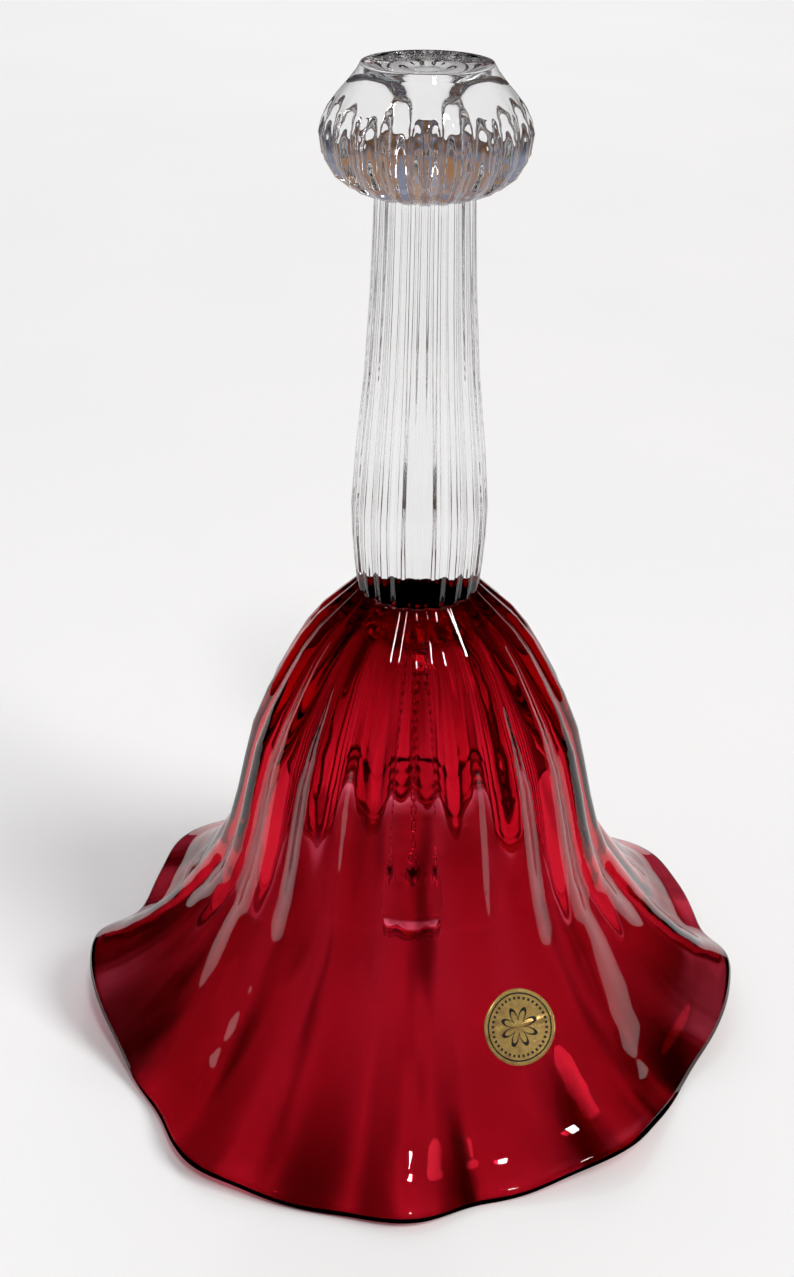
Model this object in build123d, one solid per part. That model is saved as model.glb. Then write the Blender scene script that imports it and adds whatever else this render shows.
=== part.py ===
from build123d import *
import math
import os

# Hand-blown glass table bell: ribbed ruffled bell, fluted clear handle, silver chain and glass clapper.
# Millimetres, +Z up. The origin is on the axis, on the plane that the rim stands on.

# ---------------------------------------------------------------- driving dimensions
RIBS = 20                      # optic ribs round the bell, the stem and the knob
POINTS_PER_RIB = 6             # spline points that draw one rib

BELL_HEIGHT = 85.4             # rim plane to the seat of the stem
STEM_LENGTH = 65.7             # seat of the stem to the crease under the knob
KNOB_HEIGHT = 18.9             # crease to the ground flat on top

KNOB_FLAT_RADIUS = 9.8
KNOB_RADIUS = 15.6
KNOB_WIDEST_UP = 8.9           # widest place above the crease
CREASE_RADIUS = 7.5
STEM_RADIUS = 11.0             # swell of the grip
STEM_SWELL_UP = 14.6           # swell above the seat
JOINT_RADIUS = 10.0
STEM_RIB = 0.28                # rib height on the stem
KNOB_RIB = 0.5                 # rib height under the knob

BELL_RADIUS = 29.8             # mean radius of the bell at BELL_MID_Z
BELL_MID_Z = 50.0
WAIST_RADIUS = 35.3            # radius where the flare starts
WAIST_Z = 30.8
FLARE_CURVE = 1.45             # 1 is a straight cone, more is a deeper trumpet
RIM_RADIUS = 60.0              # mean radius of the ruffled rim
WALL = 2.4                     # glass thickness of the side
CROWN_THICKNESS = 5.5          # seat of the stem down to the flat inside of the crown
CEILING_RADIUS = 6.0
RIM_LEVEL = 4.7                # mean height of the rim's edge
RIM_THICKNESS = 3.0            # fire-polished edge
BELL_RIB = 0.62                # rib height on the side of the bell
INNER_RIB = 0.18               # what is left of the ribs inside

# Ruffles of the rim: (angle in degrees, lift in mm, reach in mm), hand-made and uneven.
RUFFLES = (
    (12.0, -1.2, -1.6),
    (32.0, 0.2, 0.4),
    (60.0, -3.3, -2.6),
    (87.0, 1.6, 2.4),
    (114.0, -3.3, -2.2),
    (143.0, 1.2, -0.4),
    (166.0, 0.4, -5.2),
    (190.0, 7.6, 0.5),
    (217.0, -3.3, -2.2),
    (238.0, -1.2, 3.8),
    (255.0, -3.0, 2.0),
    (270.0, -2.0, 3.0),
    (284.0, -3.3, -1.2),
    (307.0, 1.4, 1.4),
    (328.0, -3.3, -3.0),
    (352.0, 4.4, 0.4),
)
RUFFLE_DEPTH = 1.0             # scales every lift of the ruffles

EYE_WIRE = 0.4                 # wire radius of the eye in the crown
EYE_LOOP = 1.5                 # mean radius of its loop
EYE_DROP = 4.1                 # ceiling down to the middle of the loop
SHANK_RADIUS = 0.8
SHANK_DEPTH = 3.5              # length set in the glass
RING_WIRE = 0.25               # jump rings
RING_LOOP = 1.3
LINK_WIRE = 0.2                # cable chain
LINK_HALF_WIDTH = 0.5          # centre of the wire to the middle of the link
LINK_LENGTH = 2.25             # wire centre to wire centre, end to end
LINK_COUNT = 23
LINK_PLAY = 0.05               # gap between the wires that bear on each other
CLAPPER_EYE_WIRE = 0.3
CLAPPER_EYE_LOOP = 1.1
COLLAR_RADIUS = 1.5            # little washer between the eye and the glass
COLLAR_HEIGHT = 0.7
CLAPPER_RADIUS = 6.4
CLAPPER_HEIGHT = 15.2
CLAPPER_PIN_RADIUS = 0.45
CLAPPER_PIN_DEPTH = 4.5

LABEL_DIAMETER = 12.7
LABEL_THICKNESS = 0.12
LABEL_ANGLE = -64.0            # round the bell, from +X
LABEL_Z = 21.2

# ---------------------------------------------------------------- places that follow
JOINT_Z = BELL_HEIGHT
CREASE_Z = JOINT_Z + STEM_LENGTH
TOP_Z = CREASE_Z + KNOB_HEIGHT
CEILING_Z = JOINT_Z - CROWN_THICKNESS
EYE_Z = CEILING_Z - EYE_DROP


def smooth(t):
    """Ease from 0 to 1."""
    t = min(1.0, max(0.0, t))
    return t * t * (3.0 - 2.0 * t)


def ruffle(angle):
    """Lift and reach of the rim at an angle in degrees."""
    first = RUFFLES[0][0]
    table = list(RUFFLES) + [(first + 360.0, RUFFLES[0][1], RUFFLES[0][2])]
    angle = (angle - first) % 360.0 + first
    for (a, up_a, out_a), (b, up_b, out_b) in zip(table, table[1:]):
        if a <= angle <= b:
            t = smooth((angle - a) / (b - a))
            return RUFFLE_DEPTH * (up_a + (up_b - up_a) * t), out_a + (out_b - out_a) * t
    return 0.0, 0.0


def rib(phase):
    """Height of a rib from -1 in the valley to 1 on the crest; phase runs 0 to 1 over one rib."""
    return 1.0 - 2.0 * abs(math.sin(math.pi * phase)) ** 3


def section(radius, z, rib_height=0.0, weight=0.0):
    """Closed ribbed curve round the axis. weight is how much of the rim's ruffles it takes."""
    count = RIBS * POINTS_PER_RIB
    points = []
    for i in range(count):
        turn = 360.0 * i / count
        lift, reach = ruffle(turn) if weight else (0.0, 0.0)
        r = radius + rib_height * rib(i / POINTS_PER_RIB) + weight * reach
        a = math.radians(turn)
        points.append((r * math.cos(a), r * math.sin(a), z + weight * lift))
    marks = [i / count for i in range(count + 1)]
    return Wire([Edge.make_spline(points, periodic=True, parameters=marks)])


# ---------------------------------------------------------------- bell
def side_profile():
    """(radius, z) stations of the outside from the joint down to the waist."""
    drop = JOINT_Z - BELL_MID_Z
    fall = BELL_MID_Z - WAIST_Z
    dome = (
        (0.0, 0.0), (0.045, 0.08), (0.11, 0.2), (0.19, 0.345), (0.3, 0.49),
        (0.43, 0.62), (0.6, 0.775), (0.8, 0.915), (1.0, 1.0),
    )
    side = ((0.365, 0.275), (0.7, 0.585), (1.0, 1.0))
    out = [(JOINT_RADIUS + (BELL_RADIUS - JOINT_RADIUS) * w, JOINT_Z - drop * d) for d, w in dome]
    out += [(BELL_RADIUS + (WAIST_RADIUS - BELL_RADIUS) * w, BELL_MID_Z - fall * d) for d, w in side]
    return out


def flare_profile():
    """(radius, z, share) stations of the top of the flare; share runs 0 at the waist to 1 at the rim."""
    inner = RIM_RADIUS - RIM_THICKNESS / 2
    top = RIM_LEVEL + RIM_THICKNESS / 2
    out = []
    for t in (0.13, 0.29, 0.47, 0.66, 0.86):
        z = top + (WAIST_Z - top) * (1 - t) ** FLARE_CURVE
        out.append((WAIST_RADIUS + (inner - WAIST_RADIUS) * t, z, t))
    return out


def stations():
    """Outside of the bell as (radius, z, rib height, ruffle weight, glass thickness)."""
    out = []
    for r, z in side_profile():
        share = smooth((r - JOINT_RADIUS) / (BELL_RADIUS - JOINT_RADIUS))
        thick = WALL * (1.0 + 0.5 * smooth((z - BELL_MID_Z) / (CEILING_Z - BELL_MID_Z)))
        out.append((r, z, STEM_RIB + (BELL_RIB - STEM_RIB) * share, 0.0, thick))
    for r, z, t in flare_profile():
        thick = WALL + (RIM_THICKNESS - WALL) * t
        out.append((r, z, BELL_RIB * (1.0 - 0.8 * t), smooth(t) ** 0.9, thick))
    return out


def moved_in(rows, k, distance):
    """Station k of the profile moved along its normal, inwards for a positive distance."""
    before = rows[max(k - 1, 0)]
    after = rows[min(k + 1, len(rows) - 1)]
    dr, dz = after[0] - before[0], after[1] - before[1]
    length = math.hypot(dr, dz)
    return rows[k][0] + distance * dz / length, rows[k][1] - distance * dr / length


def outer_sections(skin=0.0):
    """Sections of the outside, from the joint to just inside the rim; skin stands them proud."""
    rows = stations()
    made = []
    for k, (r, z, height, weight, _) in enumerate(rows):
        if skin:
            r, z = moved_in(rows, k, -skin) if k else (r + skin, z)
        made.append(section(r, z, height, weight))
    return made


def rim_sections():
    """Sections round the fire-polished edge."""
    half = RIM_THICKNESS / 2
    steps = ((0.0, 1.0), (0.72, 0.7), (1.0, 0.0), (0.72, -0.7), (0.0, -1.0))
    inner = RIM_RADIUS - half
    return [section(inner + half * a, RIM_LEVEL + half * b, 0.2, 1.0) for a, b in steps]


def inner_sections():
    """Sections of the inside, from just inside the rim up to the flat ceiling."""
    rows = stations()
    made = []
    for k in reversed(range(len(rows))):
        r, z = moved_in(rows, k, rows[k][4])
        if z < CEILING_Z - 3.0:
            made.append(section(r, z, INNER_RIB, rows[k][3]))
    made.append(section(CEILING_RADIUS * 2.0, CEILING_Z - 1.4, INNER_RIB * 0.5))
    made.append(section(CEILING_RADIUS, CEILING_Z))
    return made


def bell_glass(skin=0.0):
    """The glass as one closed skin, before it is ground and bored."""
    return Solid.make_loft(outer_sections(skin) + rim_sections() + inner_sections(), ruled=False)


def make_bell():
    """The ruby bell, ground flat where the folds stand and bored for the eye's shank."""
    below = Pos(0, 0, -10) * Box(4 * RIM_RADIUS, 4 * RIM_RADIUS, 20)
    bore = Pos(0, 0, CEILING_Z + SHANK_DEPTH / 2) * Cylinder(SHANK_RADIUS, SHANK_DEPTH)
    return bell_glass() - below - bore


def label_place():
    """Where the middle of the label is and which way it faces, on the outside at LABEL_Z."""
    rows = stations()
    k = min(range(1, len(rows) - 1), key=lambda n: abs(rows[n][1] - LABEL_Z))
    high, low = (rows[k], rows[k + 1]) if rows[k][1] >= LABEL_Z else (rows[k - 1], rows[k])
    share = (high[1] - LABEL_Z) / (high[1] - low[1])
    radius = high[0] + (low[0] - high[0]) * share
    below = rows[min(k + 2, len(rows) - 1)]
    look_up = math.atan2(below[0] - rows[k - 1][0], rows[k - 1][1] - below[1])
    return radius, look_up


def make_label(bell):
    """Round foil stuck on the outside of the bell: it follows the ribs that it covers."""
    radius, look_up = label_place()
    a = math.radians(LABEL_ANGLE)
    out = Vector(math.cos(a), math.sin(a), 0)
    middle = out * radius + Vector(0, 0, LABEL_Z)
    facing = out * math.cos(look_up) + Vector(0, 0, math.sin(look_up))
    punch = Cylinder(LABEL_DIAMETER / 2, 2 * WALL, align=(Align.CENTER, Align.CENTER, Align.MIN))
    placed = Plane(origin=middle - facing * WALL * 0.75, z_dir=facing) * punch
    return (placed & bell_glass(LABEL_THICKNESS)) - bell


# ---------------------------------------------------------------- handle
def make_stem():
    """Fluted clear grip between the crown and the knob."""
    swell = STEM_RADIUS
    low = (
        (0.0, JOINT_RADIUS), (0.3, JOINT_RADIUS + (swell - JOINT_RADIUS) * 0.52),
        (0.65, JOINT_RADIUS + (swell - JOINT_RADIUS) * 0.88), (1.0, swell),
    )
    made = [section(r, JOINT_Z + STEM_SWELL_UP * t, STEM_RIB) for t, r in low]
    rise = STEM_LENGTH - STEM_SWELL_UP
    for t, share in ((0.2, 0.78), (0.45, 0.4), (0.7, 0.16), (0.9, 0.04), (1.0, 0.0)):
        radius = CREASE_RADIUS + (swell - CREASE_RADIUS) * share
        made.append(section(radius, JOINT_Z + STEM_SWELL_UP + rise * t, STEM_RIB))
    return Solid.make_loft(made, ruled=False)


def make_knob():
    """Onion knob: ribs that fade out on the sloping shoulder, ground flat on top."""
    wide = KNOB_RADIUS - CREASE_RADIUS
    made = [section(CREASE_RADIUS, CREASE_Z, STEM_RIB)]
    under = ((0.05, 0.2, 0.8), (0.16, 0.46, 1.0), (0.36, 0.74, 1.0), (0.66, 0.94, 0.9), (1.0, 1.0, 0.75))
    for t, share, height in under:
        z = CREASE_Z + KNOB_WIDEST_UP * t
        made.append(section(CREASE_RADIUS + wide * share, z, KNOB_RIB * height))
    rise = KNOB_HEIGHT - KNOB_WIDEST_UP
    over = KNOB_RADIUS - KNOB_FLAT_RADIUS
    shoulder = ((0.2, 0.94, 0.55), (0.39, 0.8, 0.3), (0.56, 0.59, 0.1), (0.73, 0.33, 0.0), (0.89, 0.11, 0.0))
    for t, share, height in (*shoulder, (1.0, 0.0, 0.0)):
        z = CREASE_Z + KNOB_WIDEST_UP + rise * t
        made.append(section(KNOB_FLAT_RADIUS + over * share, z, KNOB_RIB * height))
    return Solid.make_loft(made, ruled=False)


# ---------------------------------------------------------------- chain
def upright(along_x):
    """Turn that stands a flat shape up, in the XZ plane or in the YZ plane, with its X sideways."""
    return Rot(90, 0, 0) if along_x else Rot(0, 0, 90) * Rot(90, 0, 0)


def ring(loop, wire, z, along_x):
    """Round wire ring hanging at z; along_x tells that its plane holds the X axis."""
    return Pos(0, 0, z) * upright(along_x) * Torus(loop, wire)


def oval_link(top_z, along_x):
    """Oval chain link whose upper wire centre is at top_z."""
    straight = LINK_LENGTH - 2 * LINK_HALF_WIDTH
    path = Rot(0, 0, 90) * SlotCenterToCenter(straight, 2 * LINK_HALF_WIDTH).wire()
    wire = Plane(origin=path @ 0, z_dir=path % 0) * Circle(LINK_WIRE)
    return Pos(0, 0, top_z - LINK_LENGTH / 2) * upright(along_x) * sweep(wire, path)


def make_eye():
    """Wire eye under the crown, its loop in the XZ plane and its shank set in the glass."""
    loop = ring(EYE_LOOP, EYE_WIRE, EYE_Z, True)
    low = EYE_Z + EYE_LOOP
    shank = Pos(0, 0, (low + CEILING_Z + SHANK_DEPTH) / 2)
    return loop + shank * Cylinder(SHANK_RADIUS, CEILING_Z + SHANK_DEPTH - low)


def make_chain():
    """Rings and links from the eye down: ({name: solid}, hinge heights, lowest wire's height, its plane)."""
    made, hinges = {}, []
    wire, wire_z, along_x = EYE_WIRE, EYE_Z - EYE_LOOP, False
    names = ["top_jump_ring"] + [f"chain_link_{n + 1:02d}" for n in range(LINK_COUNT)] + ["bottom_jump_ring"]
    for name in names:
        hinges.append((name, wire_z, "X" if not along_x else "Y"))
        own = LINK_WIRE if "link" in name else RING_WIRE
        top = wire_z + wire + own + LINK_PLAY
        if "link" in name:
            made[name] = oval_link(top, along_x)
            wire_z = top - LINK_LENGTH
        else:
            made[name] = ring(RING_LOOP, own, top - RING_LOOP, along_x)
            wire_z = top - 2 * RING_LOOP
        wire, along_x = own, not along_x
    hinges.append(("clapper", wire_z, "X" if not along_x else "Y"))
    return made, hinges, wire_z, along_x


# ---------------------------------------------------------------- clapper
def make_clapper(wire_z, along_x):
    """Clapper hung on the wire at wire_z: its eye with collar and pin, and the glass drop."""
    centre = wire_z + RING_WIRE + CLAPPER_EYE_WIRE + LINK_PLAY - CLAPPER_EYE_LOOP
    eye = ring(CLAPPER_EYE_LOOP, CLAPPER_EYE_WIRE, centre, along_x)
    collar_top = centre - CLAPPER_EYE_LOOP
    drop_top = collar_top - COLLAR_HEIGHT
    eye += Pos(0, 0, collar_top - COLLAR_HEIGHT / 2) * Cylinder(COLLAR_RADIUS, COLLAR_HEIGHT)
    pin = Pos(0, 0, drop_top - CLAPPER_PIN_DEPTH / 2) * Cylinder(CLAPPER_PIN_RADIUS, CLAPPER_PIN_DEPTH)
    return eye + pin, make_drop(drop_top) - pin


def make_drop(top):
    """Glass drop with a small flat on top under the collar."""
    r, h = CLAPPER_RADIUS, CLAPPER_HEIGHT
    shape = (
        (COLLAR_RADIUS, 0.0), (2.1 / 6.4 * r, 0.07 * h), (3.9 / 6.4 * r, 0.22 * h),
        (5.6 / 6.4 * r, 0.38 * h), (r, 0.58 * h), (5.3 / 6.4 * r, 0.8 * h), (3.0 / 6.4 * r, 0.95 * h),
    )
    points = [(x, top - down) for x, down in shape] + [(0.0, top - h)]
    wall = Edge.make_spline(points, tangents=[(0.35, -1.0), (-1.0, 0.0)])
    roof = Edge.make_line((0.0, top), points[0])
    axis = Edge.make_line(points[-1], (0.0, top))
    face = Rot(90, 0, 0) * Face(Wire([roof, wall, axis]))
    return revolve(face, Axis.Z)


def main():
    """Make every piece and write one STEP file for each."""
    bell = make_bell()
    chain, hinges, wire_z, along_x = make_chain()
    clapper_eye, drop = make_clapper(wire_z, along_x)
    pieces = {
        "bell_body": bell,
        "handle_stem": make_stem(),
        "handle_knob": make_knob(),
        "crown_eye": make_eye(),
        "clapper_eye": clapper_eye,
        "clapper_drop": drop,
        "foil_label": make_label(bell),
    }
    pieces.update(chain)
    os.makedirs("parts", exist_ok=True)
    for name, solid in pieces.items():
        solid.label = name
        export_step(solid, f"parts/{name}.step")
    for name, z, axis in hinges:
        print(f"hinge {name} z {z:.3f} axis {axis}")


if __name__ == "__main__":
    main()
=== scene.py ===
import logging
import math
from dataclasses import dataclass, field
from enum import Enum
from typing import Any, Callable, Iterable, Optional, Sequence

import bpy
from mathutils import Matrix, Vector


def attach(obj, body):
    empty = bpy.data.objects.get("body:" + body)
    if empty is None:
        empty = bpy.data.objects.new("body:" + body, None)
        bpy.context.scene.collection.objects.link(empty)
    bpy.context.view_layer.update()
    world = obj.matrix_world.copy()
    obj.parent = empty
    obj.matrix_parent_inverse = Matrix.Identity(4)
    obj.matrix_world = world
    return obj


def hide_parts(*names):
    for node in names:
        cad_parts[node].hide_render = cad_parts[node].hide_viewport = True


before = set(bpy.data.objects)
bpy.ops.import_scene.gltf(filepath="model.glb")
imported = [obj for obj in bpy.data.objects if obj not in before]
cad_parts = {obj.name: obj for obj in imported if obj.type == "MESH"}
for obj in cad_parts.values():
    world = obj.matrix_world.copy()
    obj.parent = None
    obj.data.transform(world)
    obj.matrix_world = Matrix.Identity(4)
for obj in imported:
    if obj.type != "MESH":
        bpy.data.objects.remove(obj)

log = logging.getLogger("glass_bell")
MM = 0.001
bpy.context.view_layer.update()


# ---------------------------------------------------------------- shader bench
class Tap:
    """A value socket that takes part in sums: each operator adds the Math node it needs."""

    def __init__(self, bench: "Bench", socket: Any) -> None:
        """Keep the bench that makes nodes and the socket that the value comes from."""
        self.bench = bench
        self.socket = socket

    def _math(self, operation: str, *values: Any) -> "Tap":
        """Add one Math node.

        Args:
            operation: The Math node's operation.
            *values: Numbers or taps for its inputs, in order.

        Returns:
            The node's result as a tap.
        """
        node = self.bench.node("ShaderNodeMath", {"operation": operation}, dict(enumerate(values)))
        return Tap(self.bench, node.outputs[0])

    def __add__(self, other: Any) -> "Tap":
        """Sum."""
        return self._math("ADD", self, other)

    __radd__ = __add__

    def __sub__(self, other: Any) -> "Tap":
        """Difference."""
        return self._math("SUBTRACT", self, other)

    def __rsub__(self, other: Any) -> "Tap":
        """Difference, this one taken away."""
        return self._math("SUBTRACT", other, self)

    def __mul__(self, other: Any) -> "Tap":
        """Product."""
        return self._math("MULTIPLY", self, other)

    __rmul__ = __mul__

    def __pow__(self, other: Any) -> "Tap":
        """Power."""
        return self._math("POWER", self, other)

    def __abs__(self) -> "Tap":
        """Absolute value."""
        return self._math("ABSOLUTE", self)

    def above(self, edge: Any) -> "Tap":
        """1 where the value is over the edge."""
        return self._math("GREATER_THAN", self, edge)

    def below(self, edge: Any) -> "Tap":
        """1 where the value is under the edge."""
        return self._math("LESS_THAN", self, edge)

    def sine(self) -> "Tap":
        """Sine of the value in radians."""
        return self._math("SINE", self)

    def cosine(self) -> "Tap":
        """Cosine of the value in radians."""
        return self._math("COSINE", self)

    def angle_with(self, other: "Tap") -> "Tap":
        """Angle of the point (other, self) round the origin."""
        return self._math("ARCTAN2", self, other)

    def clamped(self) -> "Tap":
        """The value held between 0 and 1."""
        return self._math("MAXIMUM", self._math("MINIMUM", self, 1.0), 0.0)

    def eased(self, low: float, high: float) -> "Tap":
        """Smooth step of the value from low to high."""
        node = self.bench.node(
            "ShaderNodeMapRange",
            {"interpolation_type": "SMOOTHSTEP"},
            {"Value": self, "From Min": low, "From Max": high, "To Min": 0.0, "To Max": 1.0},
        )
        return Tap(self.bench, node.outputs["Result"])


class Bench:
    """Makes one material, or the room's light, and its nodes."""

    owners = {"material": ("materials", "ShaderNodeOutputMaterial", "ShaderNodeBsdfPrincipled"),
              "room": ("worlds", "ShaderNodeOutputWorld", "ShaderNodeBackground")}
    mix_colours = (6, 7)
    mix_result = 2

    def __init__(self, name: str, owner: str = "material") -> None:
        """Start an empty material, or the room's light, with its output and main shader."""
        kind, output, shader = self.owners[owner]
        self.material = getattr(bpy.data, kind).new(name)
        self.material.use_nodes = True
        self.tree = self.material.node_tree
        self.tree.nodes.clear()
        self.output = self.node(output)
        self.shader = self.node(shader)
        self.link(self.shader.outputs[0], self.output.inputs["Surface"])

    def link(self, source: Any, target: Any) -> None:
        """Join an output to an input."""
        self.tree.links.new(source, target)

    def node(
        self,
        kind: str,
        settings: Optional[dict[str, Any]] = None,
        sockets: Optional[dict[Any, Any]] = None,
    ) -> Any:
        """Add a node, set it up and feed its sockets.

        Args:
            kind: The node's type.
            settings: Attributes of the node, set before its sockets.
            sockets: Input name or number to a number, a colour, a tap or an output to link.

        Returns:
            The new node.
        """
        made = self.tree.nodes.new(kind)
        for key, value in (settings or {}).items():
            setattr(made, key, value)
        for key, value in (sockets or {}).items():
            self.feed(made.inputs[key], value)
        return made

    def feed(self, target: Any, value: Any) -> None:
        """Give a socket a link or a plain value."""
        if isinstance(value, Tap):
            self.link(value.socket, target)
        elif isinstance(value, bpy.types.NodeSocket):
            self.link(value, target)
        else:
            target.default_value = value

    def dress(self, **values: Any) -> None:
        """Set sockets of the main shader by name, with underscores for spaces."""
        for key, value in values.items():
            self.feed(self.shader.inputs[key.replace("_", " ")], value)

    def place(self, centre: Sequence[float] = (0, 0, 0), turn: Sequence[float] = (0, 0, 0)) -> Any:
        """Object coordinates, moved so that centre is the middle and turned to a piece's own axes."""
        coords = self.node("ShaderNodeTexCoord")
        mapping = self.node(
            "ShaderNodeMapping",
            {"vector_type": "TEXTURE"},
            {"Vector": coords.outputs["Object"], "Location": centre, "Rotation": turn},
        )
        return mapping.outputs["Vector"]

    def split(self, vector: Any) -> tuple[Tap, Tap, Tap]:
        """The three parts of a vector as taps."""
        parts = self.node("ShaderNodeSeparateXYZ", None, {0: vector})
        return tuple(Tap(self, parts.outputs[i]) for i in range(3))

    def stretched(self, vector: Any, scale: Sequence[float]) -> Any:
        """A vector scaled along each axis."""
        node = self.node("ShaderNodeVectorMath", {"operation": "MULTIPLY"}, {0: vector, 1: scale})
        return node.outputs[0]

    def noise(self, vector: Any, scale: float, detail: float = 2.0, rough: float = 0.5) -> Tap:
        """Smooth noise about 0.5."""
        sockets = {"Vector": vector, "Scale": scale, "Detail": detail, "Roughness": rough}
        return Tap(self, self.node("ShaderNodeTexNoise", None, sockets).outputs[0])

    def blend(self, share: Any, first: Any, second: Any) -> Any:
        """Colour mix of first and second by share."""
        node = self.node("ShaderNodeMix", {"data_type": "RGBA"}, {0: share})
        for index, value in zip(self.mix_colours, (first, second)):
            self.feed(node.inputs[index], (*value, 1.0) if isinstance(value, tuple) else value)
        return node.outputs[self.mix_result]

    def bump(self, height: Tap, distance: float, strength: float = 1.0) -> None:
        """Feed the main shader's normal from a height field; distance is its depth in metres."""
        sockets = {"Height": height, "Distance": distance, "Strength": strength}
        self.dress(Normal=self.node("ShaderNodeBump", None, sockets).outputs[0])

    def absorb(self, colour: tuple[float, float, float], density: float) -> None:
        """Give the inside an absorbing tint of one colour and density."""
        tint = self.node("ShaderNodeVolumeAbsorption", None, {"Color": (*colour, 1.0), "Density": density})
        self.link(tint.outputs[0], self.output.inputs["Volume"])


# ---------------------------------------------------------------- finishes
@dataclass(frozen=True)
class RubyGlass:
    """Deep ruby glass, darker in the thick crown, with the slow ripple of hand work, and dark bands round
    the rim that are partly thick folds and partly painted shade.
    """

    body: tuple[float, float, float] = (1.0, 0.4, 0.53)
    # Colour of the dark bands round the rim: thick folds and painted shade.
    fold_and_shade_tint: tuple[float, float, float] = (0.16, 0.006, 0.012)
    crown: tuple[float, float, float] = (0.14, 0.012, 0.018)
    inside: tuple[float, float, float] = (0.89, 0.0, 0.2)
    density: float = 540.0
    seat: float = 0.0854
    thickening: tuple[float, float] = (0.058, 0.087)
    # Radii and widening of the dark rim bands, which are thick folds and painted shade.
    fold_and_shade_reach: tuple[float, float] = (0.037, 0.056)
    fold_and_shade_fade: float = 1.6
    ripple_depth: float = 0.0009
    hair: float = 0.00001
    # Angle, width and weight of each dark band round the rim. The broad bands at -4 and -178 degrees are
    # painted shade on the right and left sides. The rest are thick folds with painted shade.
    dark_fold_and_shade_bands: tuple[tuple[float, float, float], ...] = (
        (-4.0, 17.0, 0.75), (-27.0, 4.5, 1.0), (-38.0, 3.0, 0.6), (-57.0, 3.0, 0.4), (-79.0, 2.2, 0.55),
        (-92.0, 2.6, 0.6), (-103.0, 4.5, 0.7), (-122.0, 3.0, 0.45), (-153.0, 5.0, 0.9), (-178.0, 15.0, 0.7),
        (70.0, 8.0, 0.5), (112.0, 6.0, 0.5), (150.0, 7.0, 0.5), (32.0, 6.0, 0.5),
    )

    def folds(self, bench: Bench, turn: Tap, away: Tap) -> Tap:
        """Mask of the dark bands near the rim: thick glass in the folds, and painted shade where the rim's
        underside lies in shadow.

        Args:
            bench: The bench that the material is made on; not used.
            turn: Angle round the bell, in radians.
            away: Distance from the bell's axis, in metres.

        Returns:
            0 in thin glass up to 1 in the thickest folds and the deepest painted shade.
        """
        total: Any = 0.0
        for angle, width, weight in self.dark_fold_and_shade_bands:
            near = (turn - math.radians(angle)).cosine()
            total = near.eased(math.cos(math.radians(width * self.fold_and_shade_fade)), 1.0) * weight + total
        return total * away.eased(*self.fold_and_shade_reach)

    def make(self) -> bpy.types.Material:
        """Build the material."""
        bench = Bench("ruby_bell_glass")
        spot = bench.place()
        x, y, height = bench.split(spot)
        cloud = bench.noise(bench.stretched(spot, (1.0, 1.0, 0.35)), 60.0)
        share = (height + (cloud - 0.5) * 0.01).eased(*self.thickening)
        fused = height.above(self.seat - self.hair)
        turn = y.angle_with(x)
        unrolled = {0: turn.cosine(), 1: turn.sine(), 2: height * 5.0}
        across = bench.node("ShaderNodeCombineXYZ", None, unrolled)
        streaks = bench.noise(across.outputs[0], 4.6, 2.0, 0.6).eased(0.52, 0.66) * 0.7
        # Dark mask: thick folds and painted shade near the rim, plus random dark streaks in the glass.
        thick = (self.folds(bench, turn + cloud * 0.09, (x * x + y * y) ** 0.5) + streaks).clamped()
        bench.dress(
            Base_Color=bench.blend(share, bench.blend(thick, self.body, self.fold_and_shade_tint), self.crown),
            Transmission_Weight=1.0,
            IOR=1.5,
            Roughness=bench.noise(spot, 220.0) * 0.02,
            Alpha=1.0 - fused,
        )
        drawn = bench.noise(across.outputs[0], 4.0, 1.0)
        ripple = bench.noise(bench.stretched(spot, (1.0, 1.0, 0.6)), 60.0, 1.0)
        bench.bump(ripple * 0.5 + drawn * 1.5, self.ripple_depth, 0.4)
        bench.absorb(self.inside, self.density)
        return bench.material


@dataclass(frozen=True)
class ClearGlass:
    """Clear glass with faint drawn-out cords along its length, greyed with painted shade where the surface
    turns away from view.
    """

    name: str = "clear_handle_glass"
    colour: tuple[float, float, float] = (0.985, 0.99, 0.99)
    # Grey of the painted shade at the glass's edges, where the surface turns away from view.
    edge: tuple[float, float, float] = (0.3, 0.29, 0.3)
    cord: float = 0.0001

    def make(self) -> bpy.types.Material:
        """Build the material."""
        bench = Bench(self.name)
        spot = bench.place()
        drawn = bench.noise(bench.stretched(spot, (1.0, 1.0, 0.07)), 130.0, 1.0)
        # Painted shade: the tint turns grey where the surface turns away from view.
        weight = bench.node("ShaderNodeLayerWeight", None, {"Blend": 0.5})
        grazing_shade_mask = Tap(bench, weight.outputs["Facing"])
        body = bench.blend(drawn, self.colour, (0.95, 0.955, 0.96))
        bench.dress(
            Base_Color=bench.blend(grazing_shade_mask.eased(0.4, 0.95) * 0.8, body, self.edge),
            Transmission_Weight=1.0,
            IOR=1.5,
            Roughness=bench.noise(spot, 300.0) * 0.015,
        )
        bench.bump(drawn, self.cord, 0.5)
        return bench.material


@dataclass(frozen=True)
class FusedSeam:
    """The plane where two gathers of hot glass became one: nothing shows there."""

    def make(self) -> bpy.types.Material:
        """Build the material."""
        bench = Bench("fused_seam")
        faint = bench.noise(bench.place(), 200.0) * 0.0
        bench.dress(Base_Color=(1.0, 1.0, 1.0, 1.0), Alpha=faint, Roughness=0.0)
        return bench.material


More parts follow.
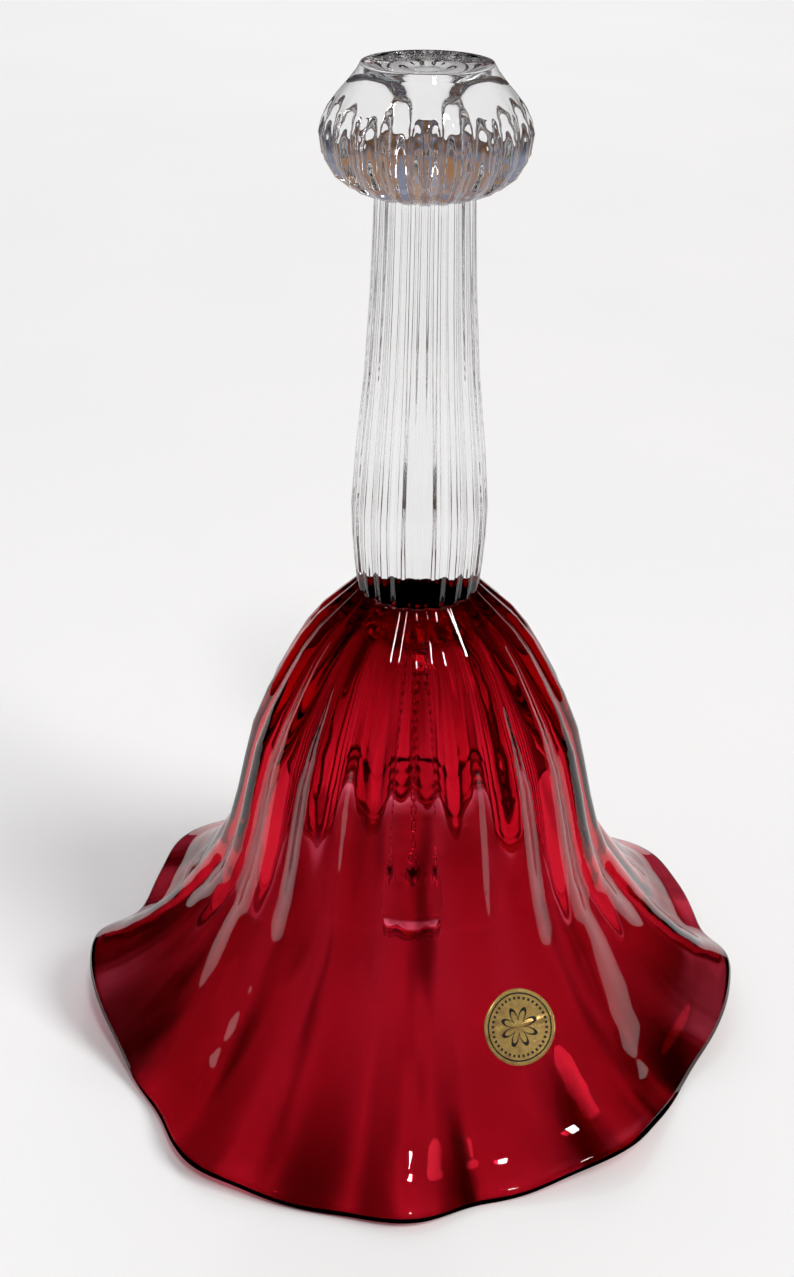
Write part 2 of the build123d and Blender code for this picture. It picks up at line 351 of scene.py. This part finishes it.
@dataclass(frozen=True)
class SilverWire:
    """Silver-plated wire, bright, with a little tarnish in random patches."""

    bright: tuple[float, float, float] = (0.9, 0.9, 0.91)
    tarnish: tuple[float, float, float] = (0.42, 0.38, 0.33)

    def make(self) -> bpy.types.Material:
        """Build the material."""
        bench = Bench("silver_plate")
        spot = bench.place()
        worn = bench.noise(spot, 1400.0, 4.0, 0.6)
        share = worn.eased(0.5, 0.78)
        bench.dress(
            Base_Color=bench.blend(share, self.bright, self.tarnish),
            Metallic=1.0,
            Roughness=0.14 + share * 0.3,
        )
        bench.bump(bench.noise(spot, 5200.0), 0.00001, 0.3)
        return bench.material


class PrintMark(Enum):
    """What is printed in black on the foil."""

    RIM = "rim"
    BEADS = "beads"
    ROSETTE = "rosette"


@dataclass(frozen=True)
class GoldFoil:
    """Gold foil with a plain printed ring, a ring of beads and a simple rosette."""

    centre: tuple[float, float, float]
    turn: tuple[float, float, float]
    radius: float
    gold: tuple[float, float, float] = (1.0, 0.68, 0.22)
    rubbed: tuple[float, float, float] = (0.6, 0.36, 0.13)
    ink: tuple[float, float, float] = (0.012, 0.01, 0.01)

    def marks(self, x: Tap, y: Tap, which: PrintMark) -> Tap:
        """Mask of one printed mark.

        Args:
            x: Place across the label, in radii.
            y: Place up the label, in radii.
            which: The mark.

        Returns:
            1 on the ink and 0 off it.
        """
        away = (x * x + y * y) ** 0.5
        turn = y.angle_with(x)
        if which is PrintMark.RIM:
            return away.above(0.86) * away.below(0.9)
        if which is PrintMark.BEADS:
            beads = (turn * 36.0).sine().above(0.1)
            return away.above(0.72) * away.below(0.79) * beads
        petals = abs((turn * 4.0).cosine()) * 0.34 + 0.2
        return away.below(petals) * away.above(petals - 0.1)

    def make(self) -> bpy.types.Material:
        """Build the material."""
        bench = Bench("printed_gold_foil")
        local = bench.place(self.centre, self.turn)
        x, y, _ = bench.split(bench.stretched(local, (1.0 / self.radius,) * 3))
        ink = self.marks(x, y, PrintMark.RIM)
        for which in (PrintMark.BEADS, PrintMark.ROSETTE):
            ink = ink + self.marks(x, y, which)
        ink = ink.clamped()
        crinkle = bench.noise(local, 1500.0, 4.0, 0.6)
        worn = bench.noise(local, 700.0, 3.0).eased(0.35, 0.75)
        foil = bench.blend(worn, self.gold, self.rubbed)
        bench.dress(
            Base_Color=bench.blend(ink, foil, self.ink),
            Metallic=(1.0 - ink) * 0.72,
            Roughness=0.24 + ink * 0.3 + worn * 0.14,
        )
        bench.bump(crinkle - ink * 0.3, 0.00008, 0.7)
        return bench.material


@dataclass(frozen=True)
class PaleTable:
    """Pale matt paper on the table."""

    colour: tuple[float, float, float] = (0.86, 0.865, 0.87)
    light_patch: tuple[float, float, float] = (0.9, 0.9, 0.9)

    def make(self) -> bpy.types.Material:
        """Build the material."""
        bench = Bench("pale_table")
        spot = bench.place()
        mottle = bench.noise(spot, 9.0, 3.0)
        bench.dress(
            Base_Color=bench.blend(mottle, self.colour, self.light_patch),
            Roughness=0.7,
            Specular_IOR_Level=0.2,
        )
        bench.bump(bench.noise(spot, 700.0, 3.0), 0.0001, 0.25)
        return bench.material


# ---------------------------------------------------------------- hot shop
@dataclass(frozen=True)
class Ring:
    """One ring of a blown shape: radius and height in millimetres, how deep its ribs are and how
    much of the rim's ruffles it takes."""

    radius: float
    height: float
    rib: float = 0.0
    ruffle: float = 0.0


@dataclass(frozen=True)
class Fold:
    """One lobe or fold of the rim: where it is, how far it lifts and how far it reaches out."""

    angle: float
    lift: float
    reach: float


def eased(t: float) -> float:
    """Ease from 0 to 1."""
    t = min(1.0, max(0.0, t))
    return t * t * (3.0 - 2.0 * t)


def put_in_slot(piece: bpy.types.Object, *materials: bpy.types.Material) -> None:
    """Give a piece its materials, in place of any that it has."""
    piece.data.materials.clear()
    for material in materials:
        piece.data.materials.append(material)


def clear_selection() -> None:
    """Leave edit mode with nothing selected."""
    if bpy.context.object and bpy.context.object.mode != "OBJECT":
        bpy.ops.object.mode_set(mode="OBJECT")
    bpy.ops.object.select_all(action="DESELECT")


def pick(piece: bpy.types.Object, test: Callable[[Vector], bool]) -> int:
    """Select the vertices that pass a test, then go back to edit mode.

    Args:
        piece: The mesh in edit mode.
        test: Says whether a place is picked.

    Returns:
        How many were picked.
    """
    bpy.ops.mesh.select_mode(type="VERT")
    bpy.ops.mesh.select_all(action="DESELECT")
    bpy.ops.object.mode_set(mode="OBJECT")
    count = 0
    for vertex in piece.data.vertices:
        vertex.select = test(vertex.co)
        count += vertex.select
    bpy.ops.object.mode_set(mode="EDIT")
    return count


@dataclass
class BlownGlass:
    """Gather of glass blown in the ribbed optic mould and drawn out ring by ring."""

    ribs: int = 20
    spans: int = 6
    folds: Sequence[Fold] = ()
    levels: int = 2
    crest: float = 1.08
    valley: float = 2.35
    table_gap: float = 0.03

    @property
    def count(self) -> int:
        """Vertices in one ring."""
        return self.ribs * self.spans

    def rib_height(self, angle: float) -> float:
        """Height of a rib from about -1 in the sharp valley to 1 on the broad crest."""
        phase = angle / 360.0 * self.ribs
        return self.crest - self.valley * abs(math.sin(math.pi * phase)) ** 3

    def ruffle(self, angle: float) -> tuple[float, float]:
        """Lift and reach of the rim at an angle in degrees."""
        if not self.folds:
            return 0.0, 0.0
        first = self.folds[0]
        angle = (angle - first.angle) % 360.0 + first.angle
        table = [*self.folds, Fold(first.angle + 360.0, first.lift, first.reach)]
        for low, high in zip(table, table[1:]):
            if low.angle <= angle <= high.angle:
                t = eased((angle - low.angle) / (high.angle - low.angle))
                return low.lift + (high.lift - low.lift) * t, low.reach + (high.reach - low.reach) * t
        return first.lift, first.reach

    def draw_out(self, name: str, rings: Sequence[Ring], sharp: Sequence[int]) -> bpy.types.Object:
        """Draw a closed cage from ring to ring and close both ends.

        Args:
            name: Name of the new piece.
            rings: The rings in order.
            sharp: Numbers of the rings whose edge stays sharp.

        Returns:
            The cage in object mode, plain and round.
        """
        clear_selection()
        start = rings[0]
        bpy.ops.mesh.primitive_circle_add(vertices=self.count, radius=start.radius * MM)
        piece = bpy.context.active_object
        piece.name = piece.data.name = name
        bpy.ops.object.mode_set(mode="EDIT")
        bpy.ops.mesh.select_all(action="SELECT")
        bpy.ops.transform.translate(value=(0, 0, start.height * MM))
        if 0 in sharp:
            bpy.ops.transform.edge_crease(value=1.0)
        for number, (before, ring) in enumerate(zip(rings, rings[1:]), 1):
            step = {"value": (0, 0, (ring.height - before.height) * MM)}
            bpy.ops.mesh.extrude_region_move(TRANSFORM_OT_translate=step)
            grow = ring.radius / before.radius
            bpy.ops.transform.resize(value=(grow, grow, 1), center_override=(0, 0, ring.height * MM))
            if number in sharp:
                bpy.ops.transform.edge_crease(value=1.0)
        bpy.ops.mesh.edge_face_add()
        pick(piece, lambda co: abs(co.z - start.height * MM) < 1e-7
             and abs(co.xy.length - start.radius * MM) < 1e-6)
        bpy.ops.mesh.edge_face_add()
        bpy.ops.mesh.select_all(action="SELECT")
        bpy.ops.mesh.normals_make_consistent(inside=False)
        bpy.ops.object.mode_set(mode="OBJECT")
        return piece

    def press(self, piece: bpy.types.Object, rings: Sequence[Ring]) -> None:
        """Press the mould's ribs into a cage and ruffle its rim.

        Args:
            piece: The cage, whose vertices come ring by ring.
            rings: The rings that it was drawn from.
        """
        for index, vertex in enumerate(piece.data.vertices):
            ring = rings[index // self.count]
            angle = math.degrees(math.atan2(vertex.co.y, vertex.co.x)) % 360.0
            lift, reach = self.ruffle(angle)
            radius = ring.radius + ring.rib * self.rib_height(angle) + ring.ruffle * reach
            turn = math.radians(angle)
            height = max(ring.height + ring.ruffle * lift, self.table_gap)
            vertex.co = Vector((radius * math.cos(turn), radius * math.sin(turn), height)) * MM

    def fire_polish(self, piece: bpy.types.Object) -> None:
        """Melt the cage into a smooth surface."""
        clear_selection()
        piece.select_set(True)
        bpy.context.view_layer.objects.active = piece
        smooth = piece.modifiers.new("fire_polish", "SUBSURF")
        smooth.levels = smooth.render_levels = self.levels
        bpy.ops.object.modifier_apply(modifier=smooth.name)
        bpy.ops.object.shade_smooth()

    def blow(self, name: str, rings: Sequence[Ring], sharp: Sequence[int] = ()) -> bpy.types.Object:
        """Make a finished glass piece from its rings."""
        piece = self.draw_out(name, rings, sharp)
        self.press(piece, rings)
        self.fire_polish(piece)
        return piece

    @staticmethod
    def seam(piece: bpy.types.Object, height: float, reach: float) -> int:
        """Put the flat faces of a fused joint in the piece's second slot.

        Args:
            piece: The finished glass.
            height: Height of the joint in millimetres.
            reach: Its largest radius in millimetres.

        Returns:
            How many faces lie in the joint.
        """
        found = 0
        for face in piece.data.polygons:
            flat = abs(face.normal.z) > 0.999 and abs(face.center.z - height * MM) < 2e-6
            if flat and face.center.xy.length < reach * MM:
                face.material_index = 1
                found += 1
        return found


@dataclass
class BellBody(BlownGlass):
    """The ruby bell: thick crown, ribbed side, flare and ruffled rim. Sizes in millimetres."""

    seat: float = 85.4
    seat_radius: float = 10.0
    middle: float = 50.0
    middle_radius: float = 29.8
    waist: float = 30.8
    waist_radius: float = 35.3
    trumpet: float = 1.45
    rim_radius: float = 60.0
    rim_level: float = 4.7
    rim_thickness: float = 3.0
    wall: float = 2.4
    ceiling: float = 79.9
    ceiling_radius: float = 6.0
    rib: float = 0.68
    inner_rib: float = 0.2
    folds: Sequence[Fold] = (
        Fold(12.0, -1.2, -1.6), Fold(32.0, 0.2, 0.4), Fold(60.0, -3.3, -2.6), Fold(87.0, 1.6, 2.4),
        Fold(114.0, -3.3, -2.2), Fold(143.0, 1.2, -0.4), Fold(166.0, 0.4, -5.2), Fold(190.0, 7.6, 0.5),
        Fold(217.0, -3.3, -2.2), Fold(238.0, -1.2, 3.8), Fold(255.0, -3.0, 2.0), Fold(270.0, -2.0, 3.0),
        Fold(284.0, -3.3, -1.2), Fold(307.0, 1.4, 1.4), Fold(328.0, -3.3, -3.0), Fold(352.0, 4.4, 0.4),
    )

    def outside(self) -> list[tuple[Ring, float]]:
        """Rings of the outside with the glass thickness behind each, from the seat to the rim."""
        dome = (
            (0.0, 0.0), (0.045, 0.08), (0.11, 0.2), (0.19, 0.345), (0.3, 0.49),
            (0.43, 0.62), (0.6, 0.775), (0.8, 0.915), (1.0, 1.0),
        )
        side = ((0.365, 0.275), (0.7, 0.585), (1.0, 1.0))
        wide, deep = self.middle_radius - self.seat_radius, self.seat - self.middle
        points = [(self.seat_radius + wide * w, self.seat - deep * d) for d, w in dome]
        wide, deep = self.waist_radius - self.middle_radius, self.middle - self.waist
        points += [(self.middle_radius + wide * w, self.middle - deep * d) for d, w in side]
        made = []
        for r, z in points:
            share = eased((r - self.seat_radius) / (self.middle_radius - self.seat_radius))
            thick = self.wall * (1.0 + 0.5 * eased((z - self.middle) / (self.ceiling - self.middle)))
            made.append((Ring(r, z, 0.28 + (self.rib - 0.28) * share), thick))
        inner, top = self.rim_radius - self.rim_thickness / 2, self.rim_level + self.rim_thickness / 2
        for t in (0.13, 0.29, 0.47, 0.66, 0.86):
            r = self.waist_radius + (inner - self.waist_radius) * t
            z = top + (self.waist - top) * (1 - t) ** self.trumpet
            thick = self.wall + (self.rim_thickness - self.wall) * t
            made.append((Ring(r, z, self.rib * (1.0 - 0.8 * t), eased(t) ** 0.9), thick))
        return made

    def rings(self) -> list[Ring]:
        """Every ring from the seat, round the rim and up the inside to the flat ceiling."""
        outside = self.outside()
        made = [ring for ring, _ in outside]
        half = self.rim_thickness / 2
        inner = self.rim_radius - half
        for a, b in ((0.0, 1.0), (0.72, 0.7), (1.0, 0.0), (0.72, -0.7), (0.0, -1.0)):
            made.append(Ring(inner + half * a, self.rim_level + half * b, 0.2, 1.0))
        for k in reversed(range(len(outside))):
            before, after = outside[max(k - 1, 0)][0], outside[min(k + 1, len(outside) - 1)][0]
            along = Vector((after.radius - before.radius, after.height - before.height)).normalized()
            ring, thick = outside[k]
            height = ring.height - thick * along.x
            if height < self.ceiling - 3.0:
                made.append(Ring(ring.radius + thick * along.y, height, self.inner_rib, ring.ruffle))
        made.append(Ring(self.ceiling_radius * 2.0, self.ceiling - 1.4, self.inner_rib * 0.5))
        made.append(Ring(self.ceiling_radius, self.ceiling))
        return made

    def build(self, ruby: bpy.types.Material) -> bpy.types.Object:
        """Blow the bell, dress it and put it in the place of its solid."""
        piece = self.blow("bell_glass", self.rings(), sharp=(0,))
        put_in_slot(piece, ruby)
        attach(piece, "bell")
        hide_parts("bell_body")
        return piece


@dataclass
class Handle(BlownGlass):
    """The clear fluted stem and its knob. Sizes in millimetres.

    The knob's outline under and over its widest place is given as shares of the rise and of the
    swell, with how deep the ribs are. Its dished top is given as radii on a flat of dish_radius,
    with how far down each ring lies.
    """

    seat: float = 85.4
    seat_radius: float = 10.0
    swell_up: float = 14.6
    swell_radius: float = 11.0
    stem_length: float = 65.7
    crease_radius: float = 7.5
    knob_radius: float = 15.6
    widest_up: float = 8.9
    knob_height: float = 18.9
    flat_radius: float = 9.8
    stem_rib: float = 0.28
    knob_rib: float = 0.62
    under: Sequence[tuple[float, float, float]] = (
        (0.05, 0.2, 0.8), (0.16, 0.46, 1.0), (0.36, 0.74, 1.0), (0.66, 0.94, 0.9), (1.0, 1.0, 0.75),
    )
    shoulder: Sequence[tuple[float, float, float]] = (
        (0.2, 0.94, 0.55), (0.39, 0.8, 0.3), (0.56, 0.59, 0.1), (0.73, 0.33, 0.0), (0.89, 0.11, 0.0),
        (1.0, 0.0, 0.0),
    )
    dish: Sequence[tuple[float, float]] = (
        (9.1, 0.02), (8.2, 0.3), (6.4, 0.75), (4.2, 0.6), (2.2, 0.95), (0.7, 0.8),
    )
    dish_radius: float = 9.8

    def stem_rings(self) -> list[Ring]:
        """Rings of the stem from the crown up to the crease."""
        over = self.swell_radius - self.seat_radius
        made = []
        for t, share in ((0.0, 0.0), (0.04, 0.08), (0.3, 0.52), (0.65, 0.88), (1.0, 1.0)):
            made.append(Ring(self.seat_radius + over * share, self.seat + self.swell_up * t, self.stem_rib))
        rise, over = self.stem_length - self.swell_up, self.swell_radius - self.crease_radius
        for t, share in ((0.2, 0.78), (0.45, 0.4), (0.7, 0.16), (0.9, 0.04), (0.985, 0.0), (1.0, 0.0)):
            height = self.seat + self.swell_up + rise * t
            made.append(Ring(self.crease_radius + over * share, height, self.stem_rib))
        return made

    def knob_rings(self) -> list[Ring]:
        """Rings of the knob from the crease to its ground and dished top."""
        crease = self.seat + self.stem_length
        wide = self.knob_radius - self.crease_radius
        made = [Ring(self.crease_radius, crease, self.stem_rib)]
        for t, share, depth in self.under:
            height = crease + self.widest_up * t
            made.append(Ring(self.crease_radius + wide * share, height, self.knob_rib * depth))
        rise, over = self.knob_height - self.widest_up, self.knob_radius - self.flat_radius
        for t, share, depth in self.shoulder:
            height = crease + self.widest_up + rise * t
            made.append(Ring(self.flat_radius + over * share, height, self.knob_rib * depth))
        top = crease + self.knob_height
        for radius, down in self.dish:
            made.append(Ring(radius * self.flat_radius / self.dish_radius, top - down))
        return made

    def build(self, clear: bpy.types.Material, seam: bpy.types.Material) -> list[bpy.types.Object]:
        """Make the stem and the knob, dress them and put them in the place of their solids."""
        stem_rings, knob_rings = self.stem_rings(), self.knob_rings()
        stem = self.blow("fluted_stem", stem_rings, sharp=(0, len(stem_rings) - 1))
        knob = self.blow("ribbed_knob", knob_rings, sharp=(0,))
        crease = self.seat + self.stem_length
        for piece, node in ((stem, "handle_stem"), (knob, "handle_knob")):
            put_in_slot(piece, clear, seam)
            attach(piece, "bell")
            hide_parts(node)
        found = self.seam(stem, self.seat, self.seat_radius + 1.0)
        found += self.seam(stem, crease, self.crease_radius + 1.0)
        found += self.seam(knob, crease, self.crease_radius + 1.0)
        log.info("handle seam faces %d", found)
        return [stem, knob]


@dataclass
class Clapper(BlownGlass):
    """The clear glass drop; its wire eye stays as the frame has it."""

    top: float = 26.65
    radius: float = 6.4
    drawn_radius: float = 6.4
    length: float = 15.2
    ribs: int = 8

    def rings(self) -> list[Ring]:
        """Rings of the drop from its small flat top down to its foot."""
        shape = (
            (1.5, 0.0), (1.75, 0.03), (2.2, 0.075), (3.9, 0.22), (5.5, 0.38), (6.35, 0.56),
            (5.95, 0.74), (4.6, 0.89), (2.4, 0.98), (0.8, 0.998),
        )
        size = self.radius
        return [Ring(r / self.drawn_radius * size, self.top - self.length * down) for r, down in shape]

    def build(self, clear: bpy.types.Material) -> bpy.types.Object:
        """Make the drop, dress it and put it in the place of its solid."""
        piece = self.blow("glass_drop", self.rings(), sharp=(0,))
        put_in_slot(piece, clear)
        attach(piece, "clapper")
        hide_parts("clapper_drop")
        return piece


@dataclass
class WireWork:
    """The eye in the crown, the jump rings, the chain and the clapper's eye, as the frame has them."""

    nodes: Sequence[str] = field(default_factory=lambda: [
        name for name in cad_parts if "ring" in name or "link" in name or "eye" in name
    ])

    def dress(self, silver: bpy.types.Material) -> int:
        """Give every wire piece the silver finish."""
        for name in self.nodes:
            put_in_slot(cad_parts[name], silver)
        return len(self.nodes)


@dataclass
class FoilLabel:
    """Round foil label that clings to the ribs of the flare. Sizes in millimetres."""

    diameter: float = 12.7
    thickness: float = 0.1
    angle: float = -64.0
    height: float = 21.2
    radius_here: float = 42.0
    look_up: float = 37.3
    roll: float = 12.0
    insets: int = 15
    cling_gap: float = 0.03
    crease_slant: float = 0.24
    crease_off: float = 0.35
    crease_width: float = 0.42
    crease_height: float = 0.22

    def axes(self) -> tuple[Vector, Vector, Vector]:
        """Across, up and outward directions of the label."""
        a, tilt = math.radians(self.angle), math.radians(self.look_up)
        out = Vector((math.cos(a) * math.cos(tilt), math.sin(a) * math.cos(tilt), math.sin(tilt)))
        across = Vector((-math.sin(a), math.cos(a), 0.0))
        spin = Matrix.Rotation(math.radians(self.roll), 3, out)
        across = spin @ across
        return across, out.cross(across), out

    @property
    def middle(self) -> Vector:
        """Centre of the label."""
        a = math.radians(self.angle)
        return Vector((math.cos(a) * self.radius_here, math.sin(a) * self.radius_here, self.height)) * MM

    @property
    def turn(self) -> tuple[float, float, float]:
        """Turn of the label as XYZ angles."""
        across, up, out = self.axes()
        return tuple(Matrix((across, up, out)).transposed().to_euler("XYZ"))

    def build(self, glass: bpy.types.Object, foil: bpy.types.Material) -> bpy.types.Object:
        """Cut the foil, lay it on the glass, crease it and give it its thickness.

        Args:
            glass: The bell that it sticks to.
            foil: Its finish.

        Returns:
            The finished label.
        """
        clear_selection()
        bpy.ops.mesh.primitive_circle_add(
            vertices=72, radius=self.diameter / 2 * MM, fill_type="NGON",
            location=self.middle, rotation=self.turn,
        )
        piece = bpy.context.active_object
        piece.name = piece.data.name = "round_foil"
        bpy.ops.object.mode_set(mode="EDIT")
        bpy.ops.mesh.select_all(action="SELECT")
        for _ in range(self.insets):
            bpy.ops.mesh.inset(thickness=self.diameter / 2 * MM / (self.insets + 1), use_boundary=True)
        bpy.ops.mesh.poke()
        bpy.ops.object.mode_set(mode="OBJECT")
        bpy.ops.object.transform_apply(location=True, rotation=True, scale=True)
        cling = piece.modifiers.new("cling", "SHRINKWRAP")
        cling.target = glass
        cling.wrap_method = "NEAREST_SURFACEPOINT"
        cling.wrap_mode = "ABOVE_SURFACE"
        cling.offset = self.cling_gap * MM
        bpy.ops.object.modifier_apply(modifier=cling.name)
        self.crease(piece)
        skin = piece.modifiers.new("foil", "SOLIDIFY")
        skin.thickness = self.thickness * MM
        skin.offset = 1.0
        bpy.ops.object.modifier_apply(modifier=skin.name)
        bpy.ops.object.shade_smooth()
        put_in_slot(piece, foil)
        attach(piece, "bell")
        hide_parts("foil_label")
        return piece

    def crease(self, piece: bpy.types.Object) -> None:
        """Raise the fold that runs slantwise across the foil."""
        across, up, out = self.axes()
        slant = (across * math.cos(self.crease_slant) - up * math.sin(self.crease_slant)).normalized()
        side = out.cross(slant)
        for vertex in piece.data.vertices:
            away = (vertex.co - self.middle).dot(side) / MM
            fold = max(0.0, 1.0 - abs(away - self.crease_off) / self.crease_width)
            vertex.co += out * fold * self.crease_height * MM


# ---------------------------------------------------------------- studio
@dataclass
class Studio:
    """Pale table, soft lights and the camera. Lengths in metres, angles in degrees."""

    spot: tuple[float, float, float] = (0.0, -0.25698, 0.21659)
    pitch: float = 28.962
    yaw: float = -0.765
    roll: float = 0.705
    field_of_view: float = 41.04
    timber: tuple[float, float, float] = (1.0, 0.5, 0.24)
    slate: tuple[float, float, float] = (0.6, 0.66, 0.9)
    whitewash: tuple[float, float, float] = (0.92, 0.965, 1.0)
    backdrop: float = 0.9
    sheet_step: float = 0.00005

    def sheet(self, name: str, size: tuple[float, float], middle: Iterable[float]) -> bpy.types.Object:
        """Lay one pale sheet.

        Args:
            name: Name of the sheet.
            size: Its width and depth.
            middle: Where its middle lies.

        Returns:
            The sheet.
        """
        clear_selection()
        bpy.ops.mesh.primitive_plane_add(size=1.0, location=middle)
        piece = bpy.context.active_object
        piece.name = name
        bpy.ops.transform.resize(value=(*size, 1.0))
        bpy.ops.object.transform_apply(location=False, rotation=False, scale=True)
        put_in_slot(piece, PaleTable().make())
        return piece

    def table(self) -> None:
        """Lay the pale table, and the paper under the bell that its glass mirrors or shows."""
        self.sheet("paper_beyond", (1.1, 1.6), (0.0, 0.77, 0.0))
        front = self.sheet("paper_in_front", (1.1, 0.09), (0.0, -0.075, 0.0))
        near = self.sheet("paper_near_viewer", (1.6, 1.2), (0.0, -0.93, 0.0))
        around = self.sheet("pale_table_top", (8.0, 8.0), (0.0, 0.0, -self.sheet_step))
        front.visible_glossy = near.visible_glossy = around.visible_glossy = False
        around.visible_transmission = False

    def camera(self) -> bpy.types.Object:
        """Set the camera at the viewing angle."""
        data = bpy.data.cameras.new("view")
        data.sensor_fit = "VERTICAL"
        data.sensor_height = 24.0
        data.lens = 12.0 / math.tan(math.radians(self.field_of_view / 2))
        data.clip_start = 0.01
        made = bpy.data.objects.new("view", data)
        bpy.context.scene.collection.objects.link(made)
        yaw, pitch, roll = (math.radians(v) for v in (self.yaw, self.pitch, self.roll))
        level = Vector((math.sin(yaw), math.cos(yaw), 0.0))
        ahead = level * math.cos(pitch) - Vector((0.0, 0.0, math.sin(pitch)))
        right = Vector((math.cos(yaw), -math.sin(yaw), 0.0))
        up = right.cross(ahead)
        across = right * math.cos(roll) + up * math.sin(roll)
        upward = up * math.cos(roll) - right * math.sin(roll)
        turned = Matrix((across, upward, -ahead)).transposed().to_4x4()
        made.matrix_world = Matrix.Translation(self.spot) @ turned
        bpy.context.scene.camera = made
        return made

    def light(
        self,
        name: str,
        place: Iterable[float],
        size: tuple[float, float],
        power: float,
        colour: tuple[float, float, float] = (1.0, 1.0, 1.0),
        aim: Iterable[float] = (0.0, 0.0, 0.06),
    ) -> bpy.types.Object:
        """Hang a soft box.

        Args:
            name: Name of the light.
            place: Where it hangs.
            size: Its width and height.
            power: Its power in watts.
            colour: Its colour.
            aim: Where it points.

        Returns:
            The light.
        """
        data = bpy.data.lights.new(name, "AREA")
        data.shape = "RECTANGLE"
        data.size, data.size_y = size
        data.energy = power
        data.color = colour
        made = bpy.data.objects.new(name, data)
        bpy.context.scene.collection.objects.link(made)
        made.location = Vector(place)
        made.rotation_euler = (Vector(aim) - made.location).to_track_quat("-Z", "Y").to_euler()
        return made

    def sun(self, toward: Iterable[float], strength: float, spread: float) -> None:
        """Add the even light that comes from far away.

        Args:
            toward: Direction in which the light lies.
            strength: How strong it is.
            spread: How wide it looks, in degrees.
        """
        data = bpy.data.lights.new("daylight", "SUN")
        data.energy, data.angle = strength, math.radians(spread)
        data.color = (1.0, 0.985, 0.96)
        made = bpy.data.objects.new("daylight", data)
        bpy.context.scene.collection.objects.link(made)
        made.rotation_euler = (-Vector(toward)).to_track_quat("-Z", "Y").to_euler()
        made.visible_glossy = False

    def room(self, ceiling: float, wall: float, behind: float) -> None:
        """Fill the room with soft light: a white ceiling over the dim brown and slate walls that
        the clear glass bends into its ribs. Behind the bell itself the room is plain and pale.

        Args:
            ceiling: Brightness overhead.
            wall: Brightness of the walls beside and beyond the bell.
            behind: Brightness of the wall behind the viewer.
        """
        bench = Bench("room", "room")
        around = bench.node("ShaderNodeTexCoord").outputs["Generated"]
        _, ahead, up = bench.split(around)
        walls = behind + ahead.eased(-0.4, 0.4) * up.eased(-0.1, 0.15) * (wall - behind)
        share = up.eased(0.35, 0.8)
        panels = bench.noise(around, 3.0, 2.0).eased(0.46, 0.56)
        panelled = bench.blend(panels, self.timber, self.slate)
        seen = Tap(bench, bench.node("ShaderNodeLightPath").outputs["Is Camera Ray"])
        room = bench.blend(share, panelled, self.whitewash)
        bench.dress(
            Color=bench.blend(seen, room, (1.0, 1.0, 1.0)),
            Strength=(walls * (1.0 - share) + share * ceiling) * (1.0 - seen) + seen * self.backdrop,
        )
        bench.material.cycles_visibility.glossy = False
        bpy.context.scene.world = bench.material

    def set_up(self) -> None:
        """Build the table, the lights and the camera."""
        self.table()
        self.camera()
        self.room(ceiling=0.6, wall=0.35, behind=0.1)
        self.light("front_window", (0.16, -0.62, 1.0), (0.09, 0.2), 3.0, (1.0, 0.99, 0.97))
        self.light("lamp", (0.06, 0.42, 1.1), (0.05, 0.05), 0.4)
        wash = self.light("back_wash", (0.0, 1.25, 1.0), (1.4, 0.8), 3.6, aim=(0.0, 1.25, 0.0))
        wash.visible_glossy = wash.visible_transmission = False
        self.sun((0.66, -0.36, 0.68), 1.8, 24.0)
        bpy.context.scene.view_settings.view_transform = "Standard"


def main() -> None:
    """Build the bell piece by piece and report each one."""
    logging.basicConfig(level=logging.INFO, format="%(name)s %(message)s")
    ruby, clear = RubyGlass().make(), ClearGlass().make()
    seam, silver = FusedSeam().make(), SilverWire().make()
    glass = BellBody().build(ruby)
    made = [glass, *Handle().build(clear, seam)]
    made.append(Clapper().build(ClearGlass("clear_drop_glass").make()))
    label = FoilLabel()
    foil = GoldFoil(tuple(label.middle), label.turn, label.diameter / 2 * MM).make()
    made.append(label.build(glass, foil))
    for piece in made:
        log.info("%s: %d faces", piece.name, len(piece.data.polygons))
    log.info("wire pieces %d", WireWork().dress(silver))
    Studio().set_up()


if __name__ == "__main__":
    main()
